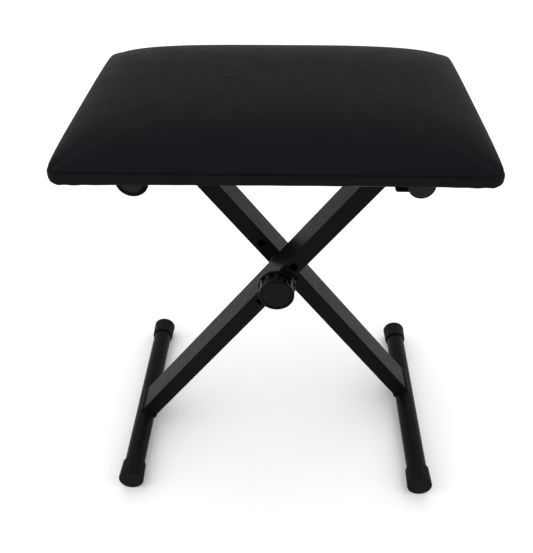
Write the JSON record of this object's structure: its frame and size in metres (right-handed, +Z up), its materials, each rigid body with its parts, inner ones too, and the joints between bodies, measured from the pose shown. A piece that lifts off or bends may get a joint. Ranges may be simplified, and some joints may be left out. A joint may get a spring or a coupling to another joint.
{
  "type": "folding keyboard bench",
  "caption": "Folding X-leg keyboard bench with a padded black vinyl seat, black steel tube legs and a clamp knob at the crossing.",
  "frame": {"origin": "on the floor, under the middle of the bench", "axes": "+Z up; X along the seat's long side, with -X the side that the seat is hinged on; -Y is the front, the knob's side"},
  "size_m": [0.41, 0.304, 0.48],
  "materials": {
    "frame_steel": "satin black powder coat on steel tube",
    "bracket_steel": "satin black powder coat on pressed strip",
    "foot_rubber": "matt black moulded rubber",
    "plug_plastic": "matt black moulded polyethylene",
    "spacer_nylon": "matt black nylon",
    "bolt_steel": "black-plated steel",
    "zinc_steel": "bright zinc-plated steel",
    "screw_steel": "black-oxide steel",
    "insert_brass": "plain brass",
    "knob_plastic": "black moulded plastic with a soft sheen",
    "knob_cap_plastic": "black moulded plastic, fine matt texture",
    "plywood": "bare plywood",
    "foam": "soft open-cell foam",
    "seat_vinyl": "black soft vinyl with a fine leather grain and a low sheen",
    "dust_cloth": "black spun-bonded cloth"
  },
  "bodies": {
    "front_frame": {"front_leg": "frame_steel", "left_foot_tube": "frame_steel", "right_top_tube": "frame_steel", "left_foot_cap_front": "foot_rubber", "left_foot_cap_rear": "foot_rubber", "right_top_plug_front": "plug_plastic", "right_top_plug_rear": "plug_plastic"},
    "rear_frame": {"rear_leg": "frame_steel", "right_foot_tube": "frame_steel", "left_top_tube": "frame_steel", "right_foot_cap_front": "foot_rubber", "right_foot_cap_rear": "foot_rubber", "left_top_plug_front": "plug_plastic", "left_top_plug_rear": "plug_plastic", "carriage_bolt": "bolt_steel", "leg_spacer": "spacer_nylon"},
    "seat": {"seat_board": "plywood", "foam_pad": "foam", "seat_cover": "seat_vinyl", "dust_cover": "dust_cloth", "seat_staples": "zinc_steel", "t_nuts": "zinc_steel", "saddle_strap_front": "bracket_steel", "saddle_strap_rear": "bracket_steel", "tube_hook_front": "bracket_steel", "tube_hook_rear": "bracket_steel", "strap_screws": "screw_steel", "hook_screws": "screw_steel"},
    "knob_washer": {"knob_washer": "zinc_steel"},
    "knob": {"knob": "knob_plastic", "knob_insert": "insert_brass", "knob_cap": "knob_cap_plastic"}
  },
  "joints": [
    {"name": "x_fold", "type": "hinge", "parent": "front_frame", "child": "rear_frame", "pos_m": [0.0015, 0, 0.24724], "axis": [0, 1, 0], "range_deg": [0, 64]},
    {"name": "seat_hinge", "type": "hinge", "parent": "rear_frame", "child": "seat", "pos_m": [-0.1348, 0, 0.4231], "axis": [0, -1, 0], "range_deg": [0, 32]},
    {"name": "knob_turn", "type": "hinge", "parent": "knob_washer", "child": "knob", "pos_m": [0.0015, -0.05, 0.24724], "axis": [0, -1, 0], "range_deg": [0, 1080]},
    {"name": "knob_travel", "type": "slide", "parent": "rear_frame", "child": "knob_washer", "axis": [0, -1, 0], "range_m": [0, 0.00375]}
  ],
  "couplings": [
    {"joint": "seat_hinge", "follows": "x_fold", "ratio": 0.5},
    {"joint": "knob_travel", "follows": "knob_turn", "m_per_rad": 0.00019894}
  ]
}
